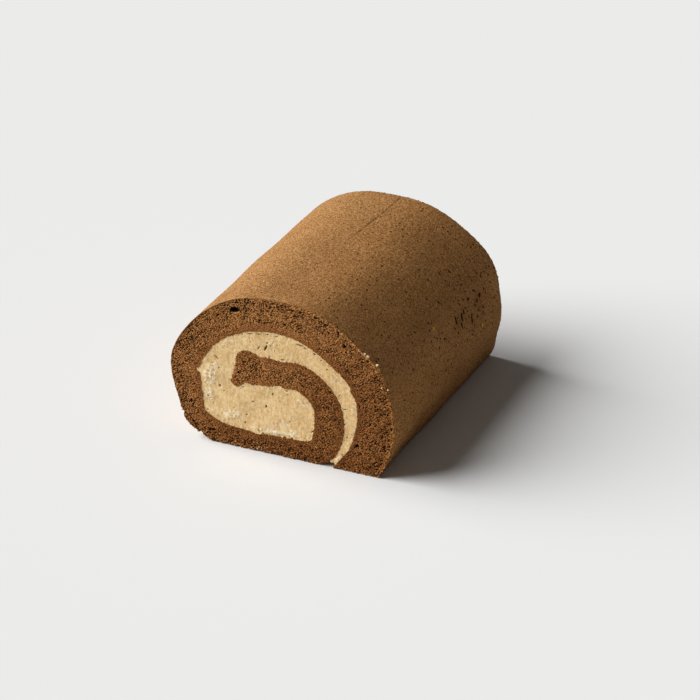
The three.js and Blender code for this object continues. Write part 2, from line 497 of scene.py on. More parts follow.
def cut_face(outline, pitch, seed, crisp):
    """Covers an outline with small triangles: the outline's points first, then the crisp ones."""
    dice = np.random.default_rng(seed)
    low, high = outline.min(0), outline.max(0)
    rows = int((high[1] - low[1]) / (pitch * ROW_SHARE)) + 1
    across = int((high[0] - low[0]) / pitch) + 1
    row, i = np.meshgrid(np.arange(rows), np.arange(across), indexing="ij")
    lattice = np.stack([low[0] + pitch * (i + 0.5 * (row % 2)).ravel(),
                        low[1] + pitch * ROW_SHARE * row.ravel()], 1)
    lattice += dice.uniform(-JITTER, JITTER, lattice.shape) * pitch
    lattice = lattice[within(lattice, outline)]
    lattice = lattice[reach(lattice, outline) > 0.55 * pitch]
    crisp = crisp[within(crisp, outline)]
    crisp = crisp[reach(crisp, outline) > 0.12]
    points = np.vstack([outline, crisp, lattice[reach(lattice, crisp) > 0.17]])
    found = delaunay_2d_cdt(points.tolist(), [], [list(range(len(outline)))], 1, 1e-9)
    if len(found[0]) != len(points):
        raise RuntimeError("the cut face's outline crosses itself")
    triangles = np.array(found[2])
    a, b, c = (points[triangles[:, k]] for k in range(3))
    area = (b[:, 0] - a[:, 0]) * (c[:, 1] - a[:, 1]) - (b[:, 1] - a[:, 1]) * (c[:, 0] - a[:, 0])
    triangles[area < 0] = triangles[area < 0][:, ::-1]
    return points, triangles


def press(points, marks, power=2.0):
    """How deep long marks reach at each point; a mark is x, z, long, wide, tilt and deep."""
    deep = np.zeros(len(points))
    for x, z, long, wide, tilt, depth in marks:
        u, v = turned(*(points - (x, z)).T, tilt)
        off = np.hypot(u / (long / 2), v / (wide / 2))
        deep = np.maximum(deep, depth * np.clip(1 - off ** power, 0, 1))
    return deep


def brims(marks, over):
    """Points on the brims of the marks that are longer than over, and just inside them."""
    rings = []
    for x, z, long, wide, tilt, _ in marks:
        for share in (1.04, 0.86) if long > over else ():
            count = max(6, int(4.5 * (long + wide)))
            around = np.linspace(0, 2 * math.pi, count, endpoint=False)
            u, v = turned(share * long / 2 * np.cos(around),
                          share * wide / 2 * np.sin(around), -tilt)
            rings.append(np.stack([x + u, z + v], 1))
    return np.vstack(rings)


def join_ends(name, front, back, rings):
    """A closed piece: its two cut ends and plain rings of wall between them."""
    count, front_points, front_faces, front_notes = front
    _, back_points, back_faces, back_notes = back
    starts = np.cumsum([0, len(front_points)] + [count] * len(rings))
    points = np.vstack([front_points] + rings + [back_points])
    i = np.arange(count)
    j = (i + 1) % count
    order = [0] + list(starts[1:])
    walls = [np.stack([a + i, b + i, b + j, a + j], 1) for a, b in zip(order, order[1:])]
    notes = {note: np.concatenate([
        values, np.zeros((count * len(rings),) + values.shape[1:]), back_notes[note]])
        for note, values in front_notes.items()}
    return new_mesh(name, points, [front_faces, back_faces[:, ::-1] + starts[-1]] + walls, notes,
                    sharp=[(0, count), (starts[-1], count)])


def new_form(name, *numbers):
    """A Geometry Nodes tree with named inputs, and those inputs as wires."""
    group = bpy.data.node_groups.new(name, "GeometryNodeTree")
    kinds = {"Geometry": "Geometry", **dict.fromkeys(numbers, "Float"), "Finish": "Material"}
    for label, kind in kinds.items():
        group.interface.new_socket(label, in_out="INPUT", socket_type="NodeSocket" + kind)
    group.interface.new_socket("Geometry", in_out="OUTPUT", socket_type="NodeSocketGeometry")
    tree = Tree(group)
    start = tree.add("NodeGroupInput")
    return tree, {label: start.other(label) for label in kinds}


def close_form(tree, ask, offset, geometry=None):
    """Ends a form's tree: points moved by offset, instances made real, and the finish put on."""
    moved = tree.add("GeometryNodeSetPosition", {
        "Geometry": geometry or ask["Geometry"], "Offset": offset})
    real = tree.add("GeometryNodeRealizeInstances", {"Geometry": moved})
    dressed = tree.add("GeometryNodeSetMaterial", {"Geometry": real, "Material": ask["Finish"]})
    tree.add("NodeGroupOutput", {"Geometry": dressed}, output=None)


def form_piece(piece, tree, values):
    """Runs a form on a piece and keeps the result as its plain mesh."""
    modifier = piece.modifiers.new("form", "NODES")
    modifier.node_group = tree.group
    for item in tree.group.interface.items_tree:
        if item.in_out == "INPUT" and item.name in values:
            modifier[item.identifier] = values[item.name]
    graph = bpy.context.evaluated_depsgraph_get()
    graph.update()
    mesh = bpy.data.meshes.new_from_object(piece.evaluated_get(graph))
    piece.modifiers.remove(modifier)
    old, piece.data = piece.data, mesh
    mesh.name = piece.name
    bpy.data.meshes.remove(old)


# Where the knife and the rolling have moved the sheet's edges at the front end.
FRONT_PUSHES = (
    (-17.5, 42.3, 0.3, -0.5, 1.3), (-9, 42, 0, -0.7, 2.2), (-21, 29.3, -0.5, 0, 2),
    (-19, 27.2, 0, -0.8, 1.8), (-15, 28, 0, 1, 2), (-1.3, 29.7, 0, 1.1, 2.2),
    (5.8, 30, 0, 0.5, 2.4), (-34.6, 30.5, -2, 0, 0.9), (41, 44.5, 1.1, 0.7, 6),
    (45.5, 33, 0.7, 0.2, 7), (46.3, 20, 0.55, 0, 7), (43.5, 8, 0.8, -0.1, 5),
    (39.5, 2, 0.6, 0.3, 3.5), (-33.7, 19.5, 0.4, 0, 1.4), (-10.5, 8.6, 0, -0.8, 1.9),
    (6, 8.6, 0, 0.5, 4), (29.3, 34.5, -0.6, -0.4, 1.7), (31.4, 30.5, 0.3, 0, 1.7),
    (13.2, 9.6, 0.7, -0.9, 1.1), (-18, 49.4, 0.3, -0.5, 5), (-9, 52.4, 0.1, -0.7, 6),
    (0, 53.5, 0, -0.7, 6),
)
# Big holes that the knife opened: x, z, long, wide, tilt and how deep.
FRONT_HOLES = [
    (-19.2, 59.3, 4.6, 2.3, 14, 2.6), (-18.3, 62.7, 2, 0.6, 20, 1.2),
    (-26.2, 55.8, 1.7, 1, 25, 1.5), (-11, 63.5, 1, 0.8, 0, 1.2), (1.8, 57.5, 1.4, 1.1, 0, 1.7),
    (-6.5, 56.4, 1.2, 0.8, 20, 1.3), (-16, 53.9, 1.2, 0.6, 30, 1), (5, 64, 3, 0.8, -6, 1.6),
    (8.2, 63.6, 1.4, 0.7, -12, 1.2), (26.3, 53.5, 2, 1.5, 105, 2.2), (22, 53.2, 2, 0.5, 0, 1),
    (20, 57.7, 1, 0.6, -30, 1), (31.5, 12, 2.1, 1.4, 35, 2), (33.2, 8.8, 1.8, 0.7, 45, 1.4),
    (37, 22.3, 1.7, 0.7, 55, 1.3), (39.4, 22.7, 1.5, 0.6, 60, 1.2), (42.2, 18.2, 1.5, 0.9, 50, 1.4),
    (40, 29.5, 1.3, 1, 60, 1.3), (45.3, 24.5, 1.2, 0.6, 80, 1.2), (38.4, 46, 1.2, 0.6, 110, 1),
    (37, 37.5, 1, 0.6, 60, 0.9), (8.2, 6.5, 1.3, 0.9, 0, 1.2), (-29.5, 5.1, 3, 1.1, 12, 2),
    (-38.3, 16.2, 1.1, 0.9, 40, 1.2), (-37, 23.7, 1.1, 1, 0, 1.4), (-38.7, 33.8, 0.9, 0.6, 40, 0.9),
    (-36, 17.7, 1.4, 0.6, 30, 1.1), (-18.5, 6.7, 1.4, 0.5, 0, 1), (-24.5, 8.3, 1, 0.5, 0, 0.8),
    (-15.5, 37.9, 1.7, 1, 15, 1.5), (-15.7, 42, 1, 0.5, 0, 0.8), (-8.8, 39.4, 0.9, 0.7, 0, 0.9),
    (-18, 33, 1, 0.6, 40, 0.9), (-18.3, 29, 0.9, 0.7, 60, 0.9), (-19.3, 30.6, 0.8, 0.7, 0, 0.9),
    (0.8, 41.7, 2.6, 0.6, 6, 1.1), (20.6, 32.6, 1.1, 0.6, 50, 1), (22.3, 29.3, 0.9, 0.6, 50, 1),
    (23.4, 26.6, 1, 0.6, 60, 0.9), (24.4, 20.6, 0.9, 0.6, 60, 0.9), (24.6, 17.6, 1, 0.6, 60, 0.9),
    (43.4, 12.5, 1.2, 0.7, 60, 1),
]
BACK_HOLES = [
    (-30.5, 50, 3.2, 1.7, 40, 2.4), (17, 57, 2.6, 1.3, -30, 2), (-5, 60.5, 1.6, 1.1, 0, 1.5),
    (38.5, 25, 1.8, 1.2, 80, 1.6), (-40, 29, 1.5, 1.1, 70, 1.4), (29, 47, 1.4, 1, 120, 1.4),
    (-12, 35, 1.6, 1.1, 0, 1.2), (13, 33, 1.3, 0.9, -20, 1.2), (-18, 3.6, 2.4, 1, 0, 1.4),
    (36, 10, 1.7, 1.1, 60, 1.5), (6, 61, 1.4, 0.9, 0, 1.2), (-20, 56.5, 1.3, 0.7, 20, 1.2),
    (42.5, 17, 1.6, 0.8, 50, 1.4), (21.5, 15, 1.2, 0.7, 50, 1.1), (-41, 19.5, 1.3, 0.7, 40, 1.2),
]
# The crack where the crust has torn loose low on the left of the front end.
CRACK = np.array([
    (-42.6, 10.4), (-40.8, 9.4), (-39.5, 8.9), (-38.4, 8), (-37.5, 7), (-37, 6.1), (-36.5, 5),
    (-35.8, 4.2), (-34.9, 3.2), (-34.2, 2.2), (-33.6, 1.2),
])
CRACK_HALF_WIDTH = 0.42
CRACK_DEEP = 4.5
CRACK_PITCH = 0.16

fine_t = np.linspace(0, 1, 1600)
exposed_line = sheet_side(SKIN, fine_t[fine_t >= FOLD])
cream_line = np.vstack([sheet_side(SKIN, fine_t[fine_t < FOLD]), sheet_side(FILLING, fine_t)])
crack_line = evenly(CRACK, CRACK_PITCH)
crack_beside = np.stack([np.gradient(crack_line[:, 1]), -np.gradient(crack_line[:, 0])], 1)
crack_beside /= np.linalg.norm(crack_beside, axis=1)[:, None]
crack_points = np.vstack([
    crack_line + crack_beside * CRACK_HALF_WIDTH * off for off in (-1.05, -0.6, 0, 0.6, 1.05)])


def swell(section, depth):
    """How far a cut end stands out where the soft roll has bulged after the cut."""
    x, z = section.T
    return FACE_SWELL * np.sin(x * 0.31 + 11 * depth) * np.sin(z * 0.27 + 22 * depth)


def laid(section, depth, tilt):
    """Section points along the crumb's flattened pores and across them; each end has its own."""
    along, across = turned(*section.T, tilt)
    return MM * np.stack([along + END_APART * depth, across * PORE_FLATNESS,
                          np.zeros(len(section))], 1)


def crumb_end(depth, pitch, holes, pushes, seed):
    """One cut end of the sponge: its edge's count, its points, triangles and notes."""
    loop = sheet_loop(depth, UNDER_SKIN, pushes)
    torn = near(loop, TORN_AT, TORN_AREA)
    x, z = loop.T
    upper_left = ramp(x, -16, -24) * ramp(z, 22, 34)
    loop = loop + beside(loop) * (RIM_SHOWS * upper_left * outside_share)[:, None]
    loop = rumple(loop, -(RAGGED + TORN_RAGGED * torn) * outside_share, seed + 5, (0.9, 1.3, 2.1))
    outline = rumple(loop, 0.10, seed, (0.7, 1.1, 2.1, 3.4))
    x, z = outline.T
    lift = np.maximum(LIFT + LIFT_WANDERS * soft_waves(seed + 6, (1.1, 1.9, 4.3))(x), 0.05)
    for first, last in UNDERSIDE:
        torn = (z < UNDERSIDE_BELOW) & (x > first) & (x < last)
        outline[torn, 1] = lift[torn]
    outline[:, 1] = np.maximum(outline[:, 1], LOWEST)
    crisp = brims(holes, 1.15)
    if depth < 0:
        crisp = np.vstack([crisp[reach(crisp, crack_line) > 1.0], crack_points])
    section, triangles = cut_face(outline[::-1], pitch, seed + 1, crisp)
    x, z = section.T
    from_skin = reach(section, exposed_line)
    hole = press(section, holes, 3.0)
    if depth < 0:
        hole = np.maximum(
            hole, CRACK_DEEP * ramp(reach(section, crack_line), CRACK_HALF_WIDTH, 0) ** 0.5)
    damp = ramp(reach(section, cream_line), 3.68, 0.48)
    notes = {
        "damp": damp,
        # partly the darker crust under the skin, partly painted shade in the crevice under the
        # skin's edge
        "crust": ramp(from_skin, 1.25, 0.25),
        "baked": ramp(from_skin, 1.35, 0.9) * ramp(x, -12, -2) * ramp(z, 42, 48),
        "lit_rim": ramp(from_skin, 2.42, 0.22) * ramp(x, 32, 36) * ramp(z, 44, 32),
        # how deep the holes and the crack go, which the finish paints nearly black as painted shade
        "hole": np.clip(hole / 1.2, 0, 1),
        "inwards": np.full(len(section), -float(depth)),
        "open": (1 - 0.6 * damp) * (0.84 + 0.26 * ramp(from_skin, 6, 0)),
        "top": ramp(z, 50, 57) * ramp(np.abs(x), 32, 24),
        "grain": laid(section, depth, PORE_TILT),
        "top_grain": laid(section, depth, TOP_PORE_TILT),
    }
    moved = in_roll(section, depth, depth * (hole - swell(section, depth)))
    return len(outline), moved, triangles, notes


sponge_crumb = join_ends(
    "sponge_crumb",
    crumb_end(-1, FRONT_PITCH, FRONT_HOLES, FRONT_PUSHES, 11),
    crumb_end(1, BACK_PITCH, BACK_HOLES, (), 12),
    [in_roll(sheet_loop(depth, WALL_UNDER_SKIN)[::-1], depth) for depth in (-0.965, 0.965)],
)


def pore_field(tree, pitch):
    """How far inside a pore a point is: 0 on the crumb's walls, 0.5 on a pore's brim, 1 inside."""
    openness, top = tree.noted("open"), tree.noted("top")
    pores = None
    for note, here in (("grain", 1.0 - top), ("top_grain", top)):
        grain = tree.noted(note, "FLOAT_VECTOR")
        bend = tree.add("ShaderNodeTexNoise", {
            "Vector": grain, "Scale": 0.8 / pitch, "Detail": 1.0}, "Color")
        bend = tree.vectors("SUBTRACT", bend, (0.5, 0.5, 0.5))
        bent = tree.vectors("ADD", grain, tree.vectors("SCALE", bend, Scale=0.6 * pitch))
        crowd = tree.step(tree.noise(grain, pitch * 4, 1.0), 0.34, 0.62, 0.6, 1.1)
        for share, wide, deep in ((1.0, 0.45, 1.0), (0.58, 0.40, 0.9)):
            cells, luck, _ = tree.spots(bent, pitch * share)
            radius = 0.0001 + wide * (0.28 + 0.72 * luck) * crowd * openness * here
            pore = deep * tree.step(cells, radius * 1.25, radius * 0.7)
            pores = pore if pores is None else tree.maths("MAXIMUM", pores, pore)
    return pores


# The crumb's finish: brown walls, with a painted highlight on the brims round the pores.
# Painted shade makes the pores, the big holes and the crack nearly black.
PORE_PITCH = 0.00125
PORE_DEPTH = 0.0005
GRIT = 0.0004

crumb_finish, tree = new_finish("coffee_crumb", 0.9, Specular_IOR_Level=0.08)
place = tree.place()
pores = pore_field(tree, PORE_PITCH)
pit = tree.step(pores, 0.35, 0.75)
brim_highlight = tree.step(pores, 0.02, 0.3) * (1 - pit)
damp, baked = tree.noted("damp"), tree.noted("baked")
across = tree.axes(place)
up = across.other("Z")
mottle = tree.noise(place, 0.0005, 2, 0.7)
wet = tree.blend(tree.step(mottle, 0.40, 0.60), (0.10, 0.031, 0.006), (0.28, 0.097, 0.021))
# Painted shade: the cut face darker towards its bottom, less at the far left, and towards its
# right, most low down.
shade_low = tree.step(up, 0.018, 0.002, 0, 0.6) * tree.step(across, -0.034, -0.018, 0.55, 1)
shade_right = tree.step(across, 0.002, 0.018, 0, 0.42) * tree.step(up, 0.052, 0.036, 0.3, 1)
wall = tree.paint(
    tree.blend(tree.step(mottle, 0.42, 0.58), (0.15, 0.052, 0.012), (0.64, 0.285, 0.092)),
    (tree.step(tree.noise(place, 0.006, 3), 0.35, 0.7) * 0.25, (0.24, 0.085, 0.018)),
    (damp * 0.62, wet),
    # painted highlight: the brims round the pores lighter, less so beside the cream
    (brim_highlight * (0.55 - 0.5 * damp), (0.78, 0.41, 0.155)),
    # partly the darker crust under the skin, partly painted shade in the crevice under its edge,
    # stronger to the right
    (tree.noted("crust") * tree.step(across, -0.012, 0.004, 0.12, 0.6), (0.10, 0.035, 0.008)),
    (tree.noted("lit_rim") * tree.step(mottle, 0.40, 0.52), (0.72, 0.31, 0.085)),
    # painted light: the cut face lighter towards its top
    (tree.step(up, 0.047, 0.060) * 0.1, (0.72, 0.35, 0.13)),
    # painted shade, darker towards the bottom and the right
    (tree.maths("MAXIMUM", shade_low, shade_right), (0.40, 0.28, 0.16), "MULTIPLY"),
    (baked * tree.step(mottle, 0.36, 0.46), (0.60, 0.27, 0.085)),
    # painted shade: the pores nearly black, less so in the baked band
    (pit * (0.95 - 0.6 * baked), (0.014, 0.005, 0.002)),
    # painted shade: the big holes and the crack nearly black
    (tree.step(tree.noted("hole"), 0.2, 0.8) * 0.95, (0.008, 0.003, 0.001)),
)
tree.feed(wall, mottle - pit, 0.0004, 0.9)

tree, ask = new_form("crumb_pores", "Pore Pitch", "Pore Depth", "Grit")
pores = pore_field(tree, ask["Pore Pitch"])
grit = tree.noise(tree.noted("grain", "FLOAT_VECTOR"), 0.0009, 2.0)
sink = tree.noted("inwards") * (ask["Pore Depth"] * tree.step(pores, 0.2, 0.9)
                                - ask["Grit"] * (grit - 0.5) * tree.noted("open"))
close_form(tree, ask, tree.add("ShaderNodeCombineXYZ", {"Y": sink}))
form_piece(sponge_crumb, tree, {
    "Pore Pitch": PORE_PITCH, "Pore Depth": PORE_DEPTH, "Grit": GRIT, "Finish": crumb_finish})

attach(sponge_crumb, "root")
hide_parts("sponge")


# ---- Skin --------------------------------------------------------------------------------------
# The sheet's baked face, which is the outside of the roll.  The paper has been peeled off it, so
# it is matt and finely grained like suede, with tiny dark pores, a faint crease along the top and
# a scuffed place on the right where the paper has pulled at it.
# Painted shade darkens its pores, slits and crease, and a painted sheen makes it paler on the left.

SKIN_THICK = 0.45
SKIN_LOW = 0.15          # keeps the skin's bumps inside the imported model's own skin
SKIN_PITCH = 0.62        # between neighbouring columns of its mesh, which run along the roll
BASE_PITCH = 1.6         # where they lie on the base
ROW_PITCH = 0.78         # between its rows, which run round the roll
FINE_PITCH = 0.31        # between both where the skin is creased or scuffed
RIM_ROW = 0.12           # the first row behind each cut
SET_BACK_FADE = 7.0
INNER_ROWS = 9

# The crease along the top, as y and x, and the nick in it.
CREASE = np.array([
    (6, 0.2), (13.9, 0.8), (21.2, 1.4), (29.8, 2), (39.1, 2.3), (48, 2.4), (54.9, 2.5),
])
CREASE_HALF_WIDTH = 0.42
CREASE_DEEP = 0.2
# the nick deepens the crease's dent and its painted shade
NICK_AT, NICK_HALF_LONG, NICK_DARK = 28.0, 1.6, 0.6
DENT_MOST = 0.26         # the skin is dented less than its own thickness
# Slits and pits in the skin of the right side: y, z, long, wide, tilt from the roll's length, deep.
SCUFFS = [
    (12, 37.6, 3.8, 1.5, 92, 0.4), (17.5, 36.6, 4.2, 1.6, 84, 0.42),
    (15.8, 34.2, 2.3, 1.3, 100, 0.3), (25.7, 32, 3.6, 1.6, 84, 0.4),
    (20.2, 37.6, 2.1, 1.3, 90, 0.3), (26.8, 40.3, 1.6, 1.5, 0, 0.3), (36.1, 38, 2.3, 1.6, 80, 0.38),
    (33, 37, 1.8, 1.5, 100, 0.34), (36.9, 32.4, 1.6, 1.15, 90, 0.28),
    (36.2, 30.5, 1.7, 1.15, 85, 0.28), (32.9, 33, 1.5, 1.15, 90, 0.25),
    (30.5, 36, 1.3, 1.15, 90, 0.2), (33.1, 41.3, 1.2, 1.05, 60, 0.2),
    (40.7, 38.6, 1.2, 1.05, 80, 0.2), (9.3, 35.3, 1.3, 1.05, 90, 0.2),
    (11.8, 32.3, 1.3, 1.15, 90, 0.22), (16.2, 32.6, 1.7, 1.05, 90, 0.22),
    (22.4, 38.3, 1.5, 1.05, 90, 0.22), (-6.3, 38.1, 1.2, 1.15, 0, 0.22),
    (-3.9, 36.9, 1.2, 1.15, 30, 0.22), (-0.7, 35.4, 1.4, 1.15, 0, 0.22),
    (-8.2, 44.9, 1.2, 1.15, 0, 0.22), (-10, 42.9, 1.1, 1.15, 0, 0.2),
    (24.7, 27.5, 1.1, 1.15, 90, 0.22), (44.7, 21.4, 1.4, 1.05, 90, 0.2),
    (5.7, 47.6, 1, 1.15, 0, 0.2), (0.4, 50.7, 1, 1.15, 0, 0.2), (1.8, 32.8, 1.2, 1.05, 90, 0.18),
    (-31.3, 36.5, 1.2, 1.25, 0, 0.24), (-24.2, 35, 0.9, 1.15, 0, 0.2),
    (47.1, 38.8, 1.2, 1.05, 80, 0.2), (25.3, 51.8, 1, 1.15, 0, 0.2), (19, 53.2, 1, 1.15, 0, 0.2),
    (-42.7, 29, 1.1, 1.15, 0, 0.2), (30.6, 31, 1.3, 1.05, 90, 0.2),
    (20.5, 34.4, 1.5, 1.05, 84, 0.22),
]
SCUFF_BAND = (25.0, 36.0, 46.0, 15.0, 6, 1.0)    # the wider place where the skin looks bruised
SCUFF_DOTS = 46
SLIT_FULL = 0.14         # a slit this deep is as dark as it gets
# Brown stains on the right side: y, z, long, wide, tilt and how dark.
STAINS = [
    (-33.6, 15.8, 4, 3, 30, 0.8), (-24.7, 35.9, 3, 2.4, 0, 0.6), (-40.2, 14.8, 3, 2.4, 0, 0.6),
    (12.5, 36.5, 9, 5, 20, 0.7), (33, 37, 11, 6, 10, 0.6), (3, 34, 12, 3, -8, 0.4),
]
# Two tiny yellow grains on the right side, in the same terms.
GRAINS = [(-6.4, 42.2, 1.4, 1.3, 0, 1.0), (34.0, 25.5, 1.4, 1.3, 0, 1.0)]
# Where the skin has torn off low on the left of the front end: x and z, area and how far.
TEARS = (((-42.3, 10.3), 0.9, 2.6), ((-35.0, 2.5), 2.0, 1.2))


def skin_pitch(line):
    x, z = line.T
    pitch = np.where(z < 0.3, BASE_PITCH, SKIN_PITCH)
    pitch[(np.abs(x - 2) < 2.4) & (z > 50) | (x > 35) & (z > 28) & (z < 44)] = FINE_PITCH
    return pitch


skin_t = even_t(SKIN, FOLD, OUTER_END, skin_pitch)
row_marks = np.linspace(-HALF_LENGTH, HALF_LENGTH, 2001)
row_steps = 1 / np.where((row_marks[1:] > 4) & (row_marks[1:] < 48), FINE_PITCH, ROW_PITCH)
row_far = np.concatenate([[0], np.cumsum(row_steps * np.diff(row_marks))])
rows_y = np.interp(np.linspace(0, row_far[-1], int(round(row_far[-1]))), row_far, row_marks)
rows_y = np.concatenate([
    [rows_y[0], rows_y[0] + RIM_ROW], rows_y[1:-1], [rows_y[-1] - RIM_ROW, rows_y[-1]]])
rows, columns = len(rows_y), len(skin_t)
plain = sheet_side(SKIN, skin_t)
plain[:, 1] = np.maximum(plain[:, 1], 0)
column_far = distances(plain)

# How far the skin's edge has come away behind each cut.
dice = np.random.default_rng(31)
worn = np.clip(0.5 + 0.5 * soft_waves(33, (3.1, 5.3, 9.7))(column_far), 0, 1)
set_back = 0.25 * worn + dice.uniform(0, 0.22, columns)
on_base = (plain[:, 1] < 0.6) & (plain[:, 0] < 15)
front_set = set_back + np.where(on_base, 0.9 + 1.1 * worn, 0)
front_set += sum(far * near(plain, middle, area) for middle, area, far in TEARS)
back_set = set_back[::-1] + np.where(on_base, 0.5 + 0.9 * worn[::-1], 0)

dots = np.stack([dice.normal(26, 13, SCUFF_DOTS), dice.normal(36, 5.5, SCUFF_DOTS)] + [
    dice.uniform(low, high, SCUFF_DOTS)
    for low, high in ((0.7, 1.3), (0.7, 1.0), (60, 120), (0.1, 0.22))], 1)


def skin_rows(ys, low, dent):
    """Rows of skin points, low under the sheet's own surface and dented by an array."""
    grid = []
    for y, dents in zip(ys, dent):
        moved = y + front_set * ramp(y, SET_BACK_FADE - HALF_LENGTH, -HALF_LENGTH) \
            - back_set * ramp(y, HALF_LENGTH - SET_BACK_FADE, HALF_LENGTH)
        depth = moved / HALF_LENGTH
        section = sheet_side(SKIN, skin_t, low + SKIN_LOW + dents - skin_wave(skin_t, depth))
        section[:, 1] = np.maximum(section[:, 1], low)
        grid.append(in_roll(section, depth))
    return np.array(grid)


spread = np.stack([np.tile(rows_y[:, None], columns).ravel(), np.tile(plain[:, 1], rows)], 1)
slits, bruise, stain, grains = (
    press(spread, marks, power) * np.tile(ramp(plain[:, 0], 20, 28), rows) for marks, power in (
        (SCUFFS + dots.tolist(), 3.0), ([SCUFF_BAND], 2.0), (STAINS, 1.5), (GRAINS, 4.0)))
crease_on = ramp(rows_y, 7, 16) * (0.75 + 0.3 * soft_waves(34, (4.0, 7.0, 13.0))(rows_y))
crease_on += NICK_DARK * np.exp(-((rows_y - NICK_AT) / NICK_HALF_LONG) ** 2)
off_crease = plain[:, 0] - np.interp(rows_y, CREASE[:, 0], CREASE[:, 1])[:, None]
groove = np.exp(-(off_crease / CREASE_HALF_WIDTH) ** 2) * (plain[:, 1] > 50)
crease = np.clip(groove * crease_on[:, None], 0, 1)
dent = np.minimum(slits, DENT_MOST).reshape(rows, columns) + CREASE_DEEP * crease
outer_skin = skin_rows(rows_y, 0.0, dent)
inner_at = np.linspace(0, rows - 1, INNER_ROWS).round().astype(int)
inner_skin = skin_rows(rows_y[inner_at], SKIN_THICK, np.zeros((INNER_ROWS, columns)))

outer_index = np.arange(rows * columns).reshape(rows, columns)
inner_index = rows * columns + np.arange(INNER_ROWS * columns).reshape(INNER_ROWS, columns)


def lace(line_a, line_b):
    """Triangles between two lines of points that start and end together."""
    faces, i, j = [], 0, 0
    last_a, last_b = len(line_a) - 1, len(line_b) - 1
    while i < last_a or j < last_b:
        if (i + 1) * last_b <= (j + 1) * last_a and i < last_a:
            faces.append((line_a[i], line_b[j], line_a[i + 1]))
            i += 1
        else:
            faces.append((line_a[i], line_b[j], line_b[j + 1]))
            j += 1
    return np.array(faces)


outer_notes = {
    # crease and slit mark where the finish paints shade along the crease and in the slits
    "crease": crease.ravel(), "slit": np.clip(slits / SLIT_FULL, 0, 1), "bruise": bruise,
    "stain": stain, "grain_spot": np.clip(grains * 2, 0, 1),
    "spread": MM * np.stack([np.tile(column_far, rows), spread[:, 0], np.zeros(len(spread))], 1),
    "outer": np.pad(np.ones((rows - 2, columns - 2)), 1).ravel(),
    "edge": np.isin(np.repeat(np.arange(rows), columns), (0, rows - 1)).astype(float),
}
skin_notes = {note: np.concatenate([
    values, np.full((INNER_ROWS * columns,) + values.shape[1:], float(note == "edge"))])
    for note, values in outer_notes.items()}
sponge_skin = new_mesh("sponge_skin", np.vstack([*outer_skin, *inner_skin]), [
    grid_faces(outer_index), grid_faces(inner_index)[:, ::-1],
    lace(outer_index[0], inner_index[0]), lace(outer_index[-1], inner_index[-1])[:, ::-1],
    lace(outer_index[:, 0], inner_index[:, 0])[:, ::-1],
    lace(outer_index[:, -1], inner_index[:, -1]),
], skin_notes)

PIN_PITCH = 0.0027
SPECK_PITCH = 0.0014

skin_finish, tree = new_finish("baked_skin", 0.9, Specular_IOR_Level=0.03)
place = tree.place()
across = tree.axes(place)
fine = tree.noise(place, 0.0004, 2, 0.7)
coarse = tree.noise(place, 0.0010, 3, 0.6)
tone = tree.step(fine * 0.75 + coarse * 0.25, 0.42, 0.58)
# The skin's light tone, paler and less saturated on the left as a painted sheen.
light_and_left_sheen = tree.blend(
    tree.step(across, -0.025, 0.025), (0.555, 0.302, 0.124), (0.58, 0.288, 0.103))
cells, luck, other = tree.spots(tree.noted("spread", "FLOAT_VECTOR"), PIN_PITCH)
radius = tree.step(other, 0.4, 0.5) * tree.step(across, -0.02, 0.03, 0.6, 1.0)
radius = 0.001 + (0.055 + 0.10 * luck * luck) * radius
pin = tree.step(cells, radius * 1.5, radius * 0.8)
cells, luck, _ = tree.spots(place, SPECK_PITCH, flat=False)
speck = tree.step(cells, 0.20, 0.11) * tree.step(luck, 0.2, 0.35)
rim = tree.blend(tree.step(across, -0.012, 0.008), (0.25, 0.110, 0.038),
                 tree.blend(tone, (0.15, 0.056, 0.015), (0.46, 0.20, 0.062)))
base = tree.paint(
    tree.blend(tone, (0.17, 0.075, 0.022), light_and_left_sheen),
    (tree.step(tree.noise(place, 0.014, 3), 0.35, 0.7) * 0.22, (0.24, 0.098, 0.025)),
    (speck * 0.7, (0.76, 0.45, 0.18)),
    (tree.noted("bruise") * tree.step(coarse, 0.5, 0.62) * 0.5, (0.09, 0.036, 0.011)),
    (tree.noted("stain") * tree.step(fine, 0.35, 0.6, 0.25, 0.75), (0.13, 0.05, 0.014)),
    # painted shade: the pinholes nearly black
    (pin * 0.95, (0.016, 0.006, 0.003)),
    # painted shade: the slits and pits nearly black
    (tree.step(tree.noted("slit"), 0.15, 0.75, 0, 0.97), (0.012, 0.005, 0.002)),
    # painted shade along the crease and its nick
    (tree.noted("crease") * 0.62, (0.07, 0.028, 0.009)),
    (tree.noted("grain_spot"), (0.85, 0.56, 0.01)),
    (tree.noted("edge") * 0.9, rim),
)
tree.feed(base, fine * 0.7 + coarse * 0.6 - pin * 0.8 + speck * 0.25, 0.0003, 0.8)

tree, ask = new_form("skin_grain", "Grain", "Grain Depth")
grain = tree.noise(tree.place(), ask["Grain"], 2.0)
sink = tree.noted("outer") * ask["Grain Depth"] * tree.step(grain, 0.65, 0.35)
close_form(tree, ask, tree.vectors(
    "SCALE", tree.add("GeometryNodeInputNormal"), Scale=0 - sink))
form_piece(sponge_skin, tree, {
    "Grain": 0.0013, "Grain Depth": 0.00014, "Finish": skin_finish})

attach(sponge_skin, "root")
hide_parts("sponge")


# ---- Cream filling -----------------------------------------------------------------------------
# Coffee cream spread on the sheet before it was rolled: a pool under the sheet's inner end, a
# strip over it, and a thin foot between the layers.  The knife leaves it smooth, with a few
# bubbles, slits and drag lines, and frothy pale places along its edges.
# Painted shade darkens its bubbles, slits, froth hollows and right side, and painted
# highlights lighten the peaks of its froth.

CREAM_INTO_SPONGE = 0.4
CREAM_FRONT_PITCH = 0.28
CREAM_BACK_PITCH = 0.36
CREAM_BACK_SET = 0.14
FOOT_ON_SKIN = 10.15 / STATIONS
FOOT_ON_FILLING = 28.88 / STATIONS
FOOT_POINTS = 12

